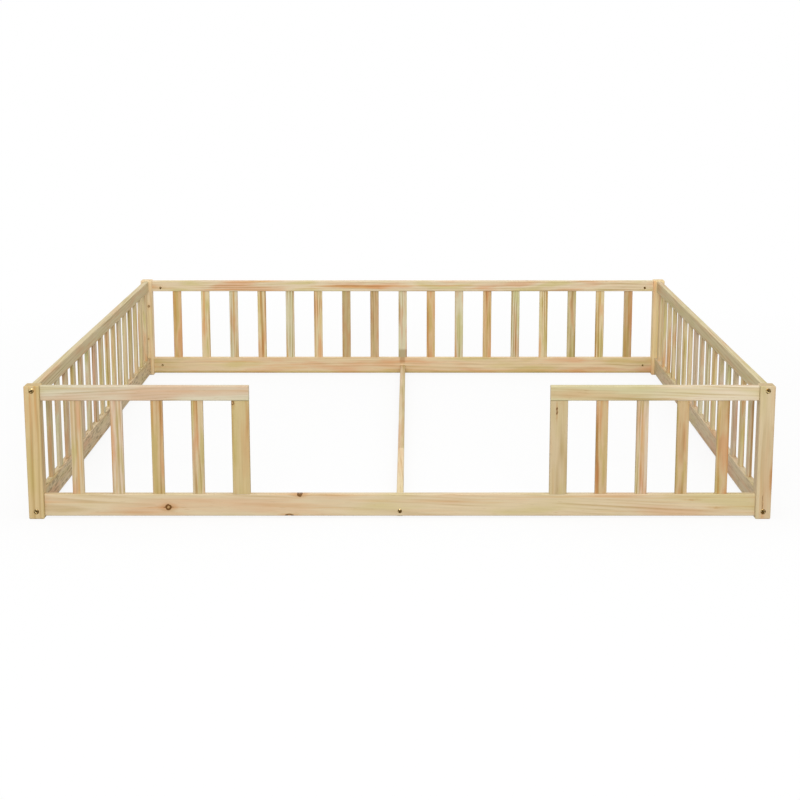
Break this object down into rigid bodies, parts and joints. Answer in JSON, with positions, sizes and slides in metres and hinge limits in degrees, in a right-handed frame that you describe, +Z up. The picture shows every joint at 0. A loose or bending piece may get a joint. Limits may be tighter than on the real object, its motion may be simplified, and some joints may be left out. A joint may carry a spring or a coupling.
{
  "type": "floor bed frame",
  "caption": "Low pine floor bed frame with slatted fence rails on all sides, an open entrance in the front fence and a centre beam on the floor.",
  "frame": {"origin": "on the floor, under the middle of the bed's footprint", "axes": "+Z up; +X to the right as seen from the open entrance; -Y out through the entrance"},
  "size_m": [2.132, 2.03, 0.391],
  "materials": {
    "pine_post": "bare sanded pine, satin",
    "pine_rail": "bare sanded pine, satin",
    "pine_slat": "bare sanded pine, satin",
    "bolt_metal": "browned, satin"
  },
  "bodies": {
    "root": {"post_front_left": "pine_post", "post_front_right": "pine_post", "post_back_left": "pine_post", "post_back_right": "pine_post", "front_bottom_rail": "pine_rail", "front_left_top_rail": "pine_rail", "front_right_top_rail": "pine_rail", "front_left_stile": "pine_rail", "front_right_stile": "pine_rail", "front_left_slat_1": "pine_slat", "front_left_slat_2": "pine_slat", "front_left_slat_3": "pine_slat", "front_left_slat_4": "pine_slat", "front_right_slat_1": "pine_slat", "front_right_slat_2": "pine_slat", "front_right_slat_3": "pine_slat", "front_right_slat_4": "pine_slat", "back_top_rail": "pine_rail", "back_bottom_rail": "pine_rail", "back_slat_01": "pine_slat", "back_slat_02": "pine_slat", "back_slat_03": "pine_slat", "back_slat_04": "pine_slat", "back_slat_05": "pine_slat", "back_slat_06": "pine_slat", "back_slat_07": "pine_slat", "back_slat_08": "pine_slat", "back_slat_09": "pine_slat", "back_slat_10": "pine_slat", "back_slat_11": "pine_slat", "back_slat_12": "pine_slat", "back_slat_13": "pine_slat", "back_slat_14": "pine_slat", "back_slat_15": "pine_slat", "back_slat_16": "pine_slat", "back_slat_17": "pine_slat", "left_top_rail": "pine_rail", "left_slatted_bottom_rail": "pine_slat", "right_top_rail": "pine_rail", "right_slatted_bottom_rail": "pine_slat", "centre_beam": "pine_rail", "front_left_top_long_bolt": "bolt_metal", "front_left_bottom_long_bolt": "bolt_metal", "front_left_top_side_bolt": "bolt_metal", "front_left_bottom_side_bolt": "bolt_metal", "front_right_top_long_bolt": "bolt_metal", "front_right_bottom_long_bolt": "bolt_metal", "front_right_top_side_bolt": "bolt_metal", "front_right_bottom_side_bolt": "bolt_metal", "back_left_top_long_bolt": "bolt_metal", "back_left_bottom_long_bolt": "bolt_metal", "back_left_top_side_bolt": "bolt_metal", "back_left_bottom_side_bolt": "bolt_metal", "back_right_top_long_bolt": "bolt_metal", "back_right_bottom_long_bolt": "bolt_metal", "back_right_top_side_bolt": "bolt_metal", "back_right_bottom_side_bolt": "bolt_metal", "front_beam_bolt": "bolt_metal", "back_beam_bolt": "bolt_metal"}
  },
  "joints": []
}
